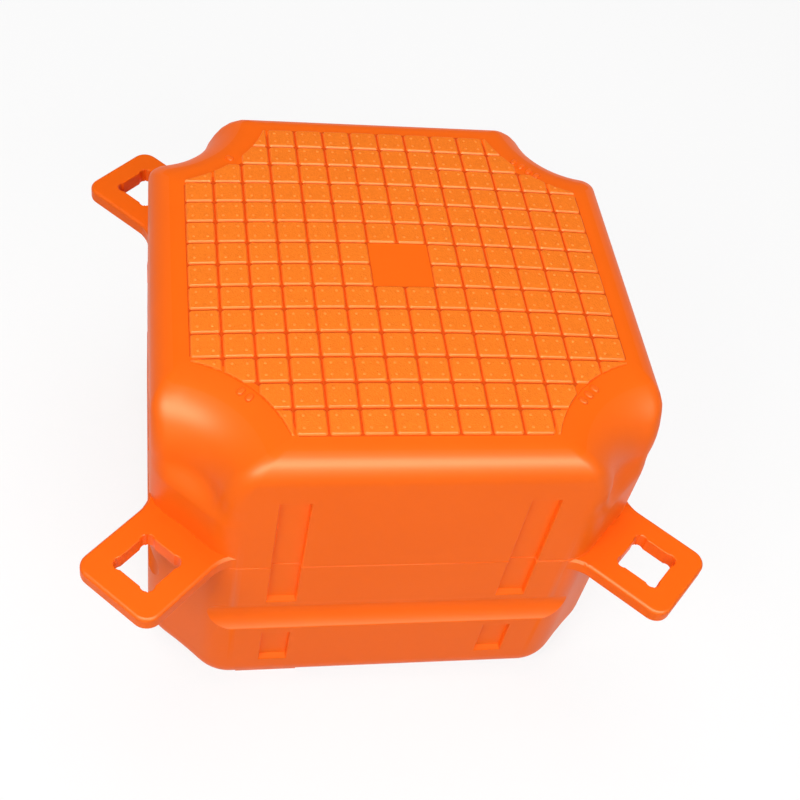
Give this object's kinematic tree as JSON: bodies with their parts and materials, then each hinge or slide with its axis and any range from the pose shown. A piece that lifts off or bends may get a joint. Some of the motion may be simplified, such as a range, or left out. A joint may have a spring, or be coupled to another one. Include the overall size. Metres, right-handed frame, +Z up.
{
  "type": "floating dock cube",
  "caption": "Square moulded float with a tiled walking deck, scooped corners and a square-eyed lug at each corner, each at its own level, for coupling into a dock.",
  "frame": {"origin": "middle of the underside, between the four pin axes", "axes": "+Z up, square to the deck; +X and +Y square to the side faces; the highest lug is at -X +Y, then -X -Y, +X -Y and the lowest at +X +Y"},
  "size_m": [0.6232, 0.6232, 0.3999],
  "materials": {
    "float_shell": "semi-gloss orange polyethylene with a fine mould grain"
  },
  "bodies": {
    "root": {"float_body": "float_shell"}
  },
  "joints": []
}
